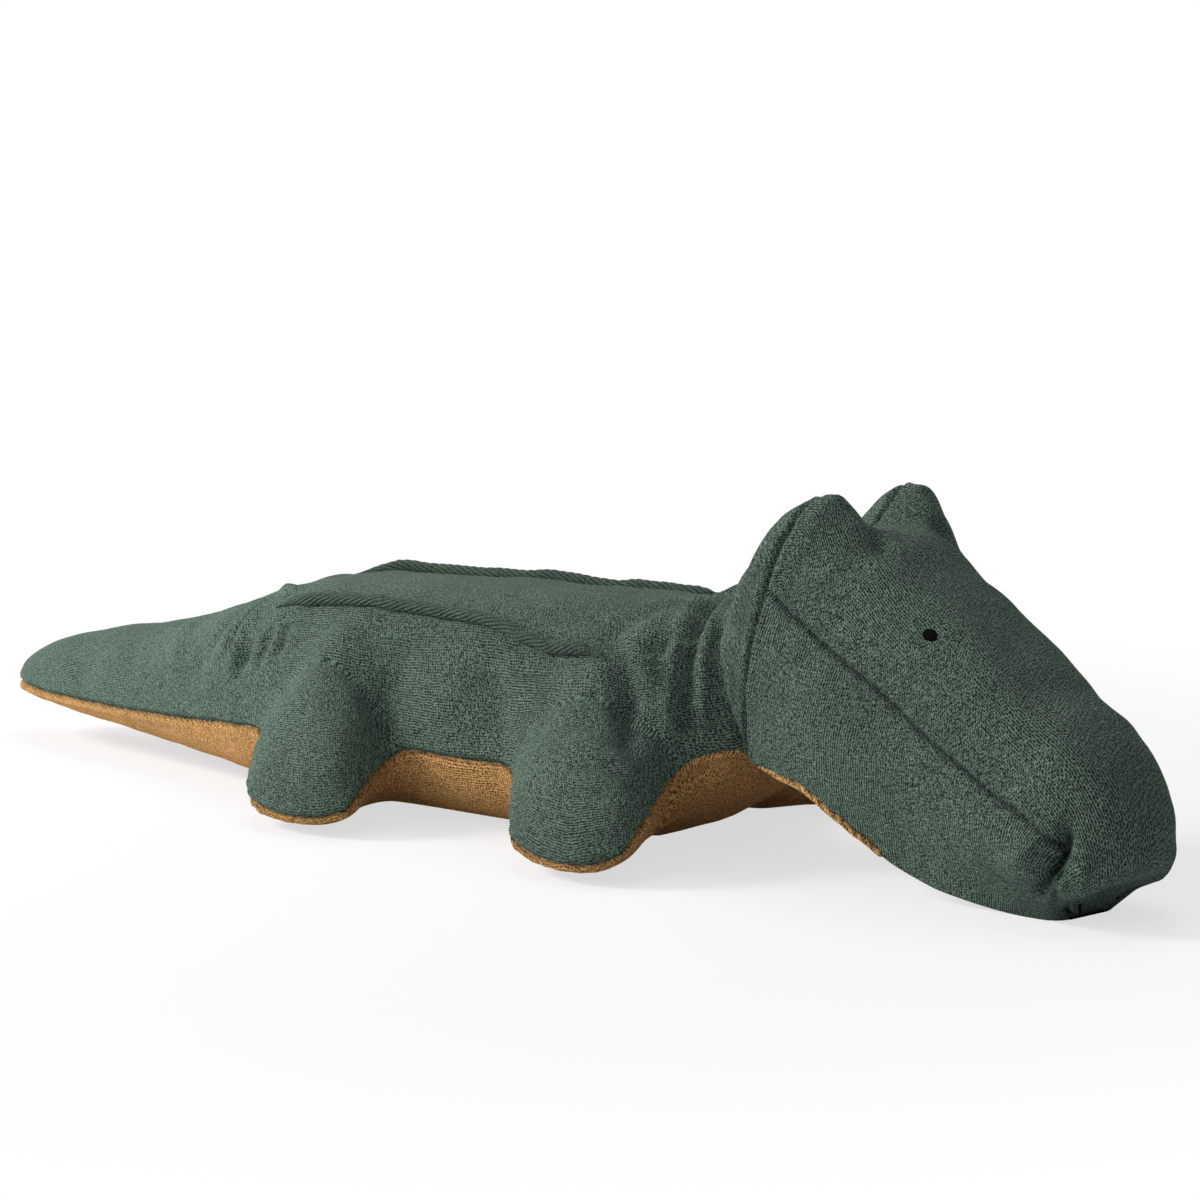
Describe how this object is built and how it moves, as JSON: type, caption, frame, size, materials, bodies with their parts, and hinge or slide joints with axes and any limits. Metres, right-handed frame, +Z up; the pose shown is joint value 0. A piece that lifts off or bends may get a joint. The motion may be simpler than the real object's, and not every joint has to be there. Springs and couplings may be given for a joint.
{
  "type": "plush crocodile",
  "caption": "Stuffed terry-cloth crocodile lying on its belly, with panels, seams, back ridges, filling and bendable head, neck, tail and legs.",
  "frame": {"origin": "on the floor under the middle of the belly, on the flat of the belly panel", "axes": "+X from tail to snout, +Y to the crocodile's left, +Z up"},
  "size_m": [0.652, 0.216, 0.1543],
  "materials": {
    "green_terry": "dark green knitted terry cloth",
    "caramel_terry": "caramel knitted terry cloth",
    "fibre_filling": "white fibre filling",
    "black_thread": "black embroidery thread",
    "green_thread": "dark green sewing thread"
  },
  "bodies": {
    "torso": {"back_panel": "green_terry", "belly_panel": "caramel_terry", "torso_stuffing": "fibre_filling", "back_ridge_left": "green_terry", "back_ridge_right": "green_terry"},
    "tail": {"tail_top_panel": "green_terry", "tail_under_panel": "caramel_terry", "tail_stuffing": "fibre_filling"},
    "neck": {"neck_top_panel": "green_terry", "neck_throat_panel": "caramel_terry", "neck_stuffing": "fibre_filling"},
    "head": {"head_top_panel": "green_terry", "head_right_cheek": "green_terry", "head_left_cheek": "green_terry", "head_back_gusset": "green_terry", "chin_panel": "caramel_terry", "head_stuffing": "fibre_filling", "eye_left": "black_thread", "eye_right": "black_thread", "nostril_stitch_left": "green_thread", "nostril_stitch_right": "green_thread"},
    "rear_left_leg": {"rear_left_leg_top": "green_terry", "rear_left_leg_sole": "caramel_terry", "rear_left_leg_stuffing": "fibre_filling"},
    "rear_right_leg": {"rear_right_leg_top": "green_terry", "rear_right_leg_sole": "caramel_terry", "rear_right_leg_stuffing": "fibre_filling"},
    "front_left_leg": {"front_left_leg_top": "green_terry", "front_left_leg_sole": "caramel_terry", "front_left_leg_stuffing": "fibre_filling"},
    "front_right_leg": {"front_right_leg_top": "green_terry", "front_right_leg_sole": "caramel_terry", "front_right_leg_stuffing": "fibre_filling"}
  },
  "joints": [
    {"name": "tail_swing", "type": "hinge", "parent": "torso", "child": "tail", "pos_m": [-0.14976, 0, 0.04], "axis": [0, 0, 1], "range_deg": [-30, 30]},
    {"name": "neck_turn", "type": "hinge", "parent": "torso", "child": "neck", "pos_m": [0.15023, 0, 0.06], "axis": [0, 0, 1], "range_deg": [-12, 36]},
    {"name": "head_nod", "type": "hinge", "parent": "neck", "child": "head", "pos_m": [0.1506, 0.0086, 0.111], "axis": [-0.2079, -0.9781, 0], "range_deg": [0, 25]},
    {"name": "rear_left_leg_lift", "type": "hinge", "parent": "torso", "child": "rear_left_leg", "pos_m": [-0.04961, 0.0585, 0.078], "axis": [1, 0, 0], "range_deg": [0, 35]},
    {"name": "rear_right_leg_lift", "type": "hinge", "parent": "torso", "child": "rear_right_leg", "pos_m": [-0.04961, -0.0585, 0.078], "axis": [-1, 0, 0], "range_deg": [0, 35]},
    {"name": "front_left_leg_lift", "type": "hinge", "parent": "torso", "child": "front_left_leg", "pos_m": [0.09641, 0.0585, 0.078], "axis": [1, 0, 0], "range_deg": [0, 35]},
    {"name": "front_right_leg_lift", "type": "hinge", "parent": "torso", "child": "front_right_leg", "pos_m": [0.09641, -0.0585, 0.078], "axis": [-1, 0, 0], "range_deg": [0, 35]}
  ]
}
